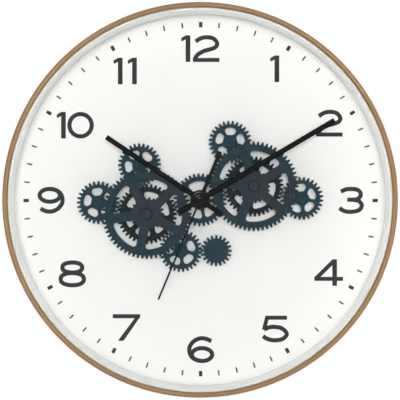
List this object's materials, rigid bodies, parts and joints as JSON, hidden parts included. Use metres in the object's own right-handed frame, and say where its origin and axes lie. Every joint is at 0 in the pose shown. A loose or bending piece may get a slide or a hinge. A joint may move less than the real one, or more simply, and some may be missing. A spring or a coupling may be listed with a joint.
{
  "type": "gear wall clock",
  "caption": "Round wall clock in a bent wooden hoop, with printed numbers and a train of dark open-spoked gears turning in front of a white dial.",
  "frame": {"origin": "middle of the hoop's depth, on the axis of the hands", "axes": "+Y points back to the wall and -Y to the viewer, +Z to 12 o'clock, +X to 3 o'clock"},
  "size_m": [0.4, 0.078, 0.4],
  "materials": {
    "bent_wood": "clear satin lacquer over bent birch plywood",
    "pine": "bare planed softwood",
    "glass": "clear polished float glass",
    "white_plastic": "matte white",
    "dial_white": "matte white board with printed numbers",
    "train_blue": "matte dark blue, moulded",
    "hand_black": "black painted aluminium sheet with a raised ridge",
    "gear_white": "natural white acetal",
    "black_plastic": "fine-textured black",
    "brass": "turned",
    "post_steel": "turned bright steel",
    "zinc_steel": "zinc plated",
    "coil_copper": "enamelled copper winding",
    "board_green": "solder mask",
    "cell_wrap": "plain printed sleeve",
    "contact_metal": "nickel plated spring strip",
    "magnet": "sintered magnet with a plastic pinion"
  },
  "bodies": {
    "clock_body": {"wood_hoop": "bent_wood", "front_glass": "glass", "spacer_ring": "white_plastic", "dial_board": "dial_white", "dial_cleats": "pine", "cleat_screws": "zinc_steel", "hanger_block": "pine", "hanger_plate": "zinc_steel", "hanger_screws": "zinc_steel", "wheel_posts": "post_steel", "post_caps": "train_blue", "centre_bush": "brass", "bush_washer": "brass", "bush_nut": "brass", "centre_clip": "train_blue", "movement_case": "black_plastic", "movement_cover": "black_plastic", "stator": "post_steel", "coil": "coil_copper", "circuit_board": "board_green", "quartz_crystal": "zinc_steel", "movement_cell": "cell_wrap", "movement_contacts": "contact_metal", "motor_case": "black_plastic", "motor_cover": "black_plastic", "motor_cover_screws": "zinc_steel", "motor_can": "zinc_steel", "motor_cell": "cell_wrap", "motor_contacts": "contact_metal"},
    "left_wheels": {"left_great_wheel": "train_blue", "left_middle_wheel": "train_blue", "left_rear_pinion": "train_blue"},
    "right_wheels": {"right_great_wheel": "train_blue", "right_middle_wheel": "train_blue", "right_rear_pinion": "train_blue"},
    "centre_gear": {"centre_wheel": "train_blue"},
    "upper_left_gear": {"upper_left_wheel": "train_blue"},
    "outer_left_gear": {"outer_left_wheel": "train_blue"},
    "lower_left_gear": {"lower_left_wheel": "train_blue"},
    "upper_right_gear": {"upper_right_wheel": "train_blue"},
    "outer_right_gear": {"outer_right_wheel": "train_blue"},
    "drive_shaft": {"drive_pinion": "train_blue", "output_shaft": "post_steel", "output_wheel": "gear_white"},
    "reduction_gear": {"reduction_wheel": "gear_white"},
    "motor_armature": {"motor_rotor": "brass"},
    "minute_group": {"minute_hand": "hand_black", "hand_nut": "hand_black", "cannon_pinion": "brass"},
    "hour_group": {"hour_hand": "hand_black", "hour_wheel": "gear_white"},
    "motion_gear": {"motion_wheel": "gear_white"},
    "knob_group": {"set_knob": "gear_white"},
    "second_group": {"second_hand": "hand_black", "seconds_wheel": "gear_white"},
    "third_gear": {"third_wheel": "gear_white"},
    "clutch_gear": {"clutch_wheel": "gear_white"},
    "stepper_gear": {"stepper_wheel": "gear_white"},
    "rotor_group": {"stepper_rotor": "magnet"}
  },
  "joints": [
    {"name": "left_wheels_spin", "type": "hinge", "parent": "clock_body", "child": "left_wheels", "pos_m": [-0.05482, 0, -0.01469], "axis": [0, -1, 0], "continuous": true},
    {"name": "centre_gear_spin", "type": "hinge", "parent": "clock_body", "child": "centre_gear", "pos_m": [0, 0, 0], "axis": [0, -1, 0], "continuous": true},
    {"name": "right_wheels_spin", "type": "hinge", "parent": "clock_body", "child": "right_wheels", "pos_m": [0.05504, 0, 0.01383], "axis": [0, -1, 0], "continuous": true},
    {"name": "upper_left_gear_spin", "type": "hinge", "parent": "clock_body", "child": "upper_left_gear", "pos_m": [-0.06252, 0, 0.03623], "axis": [0, -1, 0], "continuous": true},
    {"name": "outer_left_gear_spin", "type": "hinge", "parent": "clock_body", "child": "outer_left_gear", "pos_m": [-0.10496, 0, -0.00293], "axis": [0, -1, 0], "continuous": true},
    {"name": "lower_left_gear_spin", "type": "hinge", "parent": "clock_body", "child": "lower_left_gear", "pos_m": [-0.01989, 0, -0.05254], "axis": [0, -1, 0], "continuous": true},
    {"name": "upper_right_gear_spin", "type": "hinge", "parent": "clock_body", "child": "upper_right_gear", "pos_m": [0.03102, 0, 0.05938], "axis": [0, -1, 0], "continuous": true},
    {"name": "outer_right_gear_spin", "type": "hinge", "parent": "clock_body", "child": "outer_right_gear", "pos_m": [0.10501, 0, 0.00137], "axis": [0, -1, 0], "continuous": true},
    {"name": "drive_shaft_spin", "type": "hinge", "parent": "clock_body", "child": "drive_shaft", "pos_m": [0.01661, 0, -0.05254], "axis": [0, -1, 0], "continuous": true},
    {"name": "reduction_gear_spin", "type": "hinge", "parent": "clock_body", "child": "reduction_gear", "pos_m": [0.00406, 0, -0.05254], "axis": [0, -1, 0], "continuous": true},
    {"name": "motor_armature_spin", "type": "hinge", "parent": "clock_body", "child": "motor_armature", "pos_m": [-0.00681, 0, -0.04626], "axis": [0, -1, 0], "continuous": true},
    {"name": "minute_spin", "type": "hinge", "parent": "clock_body", "child": "minute_group", "pos_m": [0, 0, 0], "axis": [0, -1, 0], "continuous": true},
    {"name": "hour_spin", "type": "hinge", "parent": "clock_body", "child": "hour_group", "pos_m": [0, 0, 0], "axis": [0, -1, 0], "continuous": true},
    {"name": "motion_gear_spin", "type": "hinge", "parent": "clock_body", "child": "motion_gear", "pos_m": [-0.01205, 0, 0], "axis": [0, -1, 0], "continuous": true},
    {"name": "knob_spin", "type": "hinge", "parent": "clock_body", "child": "knob_group", "pos_m": [-0.01808, 0, -0.01044], "axis": [0, -1, 0], "continuous": true},
    {"name": "second_spin", "type": "hinge", "parent": "clock_body", "child": "second_group", "pos_m": [0, 0, 0], "axis": [0, -1, 0], "continuous": true},
    {"name": "third_gear_spin", "type": "hinge", "parent": "clock_body", "child": "third_gear", "pos_m": [0.00511, 0, -0.00886], "axis": [0, -1, 0], "continuous": true},
    {"name": "clutch_gear_spin", "type": "hinge", "parent": "clock_body", "child": "clutch_gear", "pos_m": [0, 0, 0], "axis": [0, -1, 0], "continuous": true},
    {"name": "stepper_gear_spin", "type": "hinge", "parent": "clock_body", "child": "stepper_gear", "pos_m": [0.00682, 0, 0.00682], "axis": [0, -1, 0], "continuous": true},
    {"name": "rotor_spin", "type": "hinge", "parent": "clock_body", "child": "rotor_group", "pos_m": [0.01384, 0, 0.00682], "axis": [0, -1, 0], "continuous": true}
  ],
  "couplings": [
    {"joint": "centre_gear_spin", "follows": "left_wheels_spin", "ratio": -1.1429},
    {"joint": "right_wheels_spin", "follows": "left_wheels_spin", "ratio": 1},
    {"joint": "upper_left_gear_spin", "follows": "left_wheels_spin", "ratio": -1.4286},
    {"joint": "outer_left_gear_spin", "follows": "left_wheels_spin", "ratio": -1.4286},
    {"joint": "lower_left_gear_spin", "follows": "left_wheels_spin", "ratio": -1.4286},
    {"joint": "upper_right_gear_spin", "follows": "left_wheels_spin", "ratio": -1.4286},
    {"joint": "outer_right_gear_spin", "follows": "left_wheels_spin", "ratio": -1.4286},
    {"joint": "drive_shaft_spin", "follows": "left_wheels_spin", "ratio": 2},
    {"joint": "reduction_gear_spin", "follows": "left_wheels_spin", "ratio": -8},
    {"joint": "motor_armature_spin", "follows": "left_wheels_spin", "ratio": 32},
    {"joint": "hour_spin", "follows": "minute_spin", "ratio": 0.083333},
    {"joint": "motion_gear_spin", "follows": "minute_spin", "ratio": -0.33333},
    {"joint": "knob_spin", "follows": "minute_spin", "ratio": 1},
    {"joint": "third_gear_spin", "follows": "second_spin", "ratio": -0.13333},
    {"joint": "clutch_gear_spin", "follows": "second_spin", "ratio": 0.016667},
    {"joint": "stepper_gear_spin", "follows": "second_spin", "ratio": -5},
    {"joint": "rotor_spin", "follows": "second_spin", "ratio": 30}
  ]
}
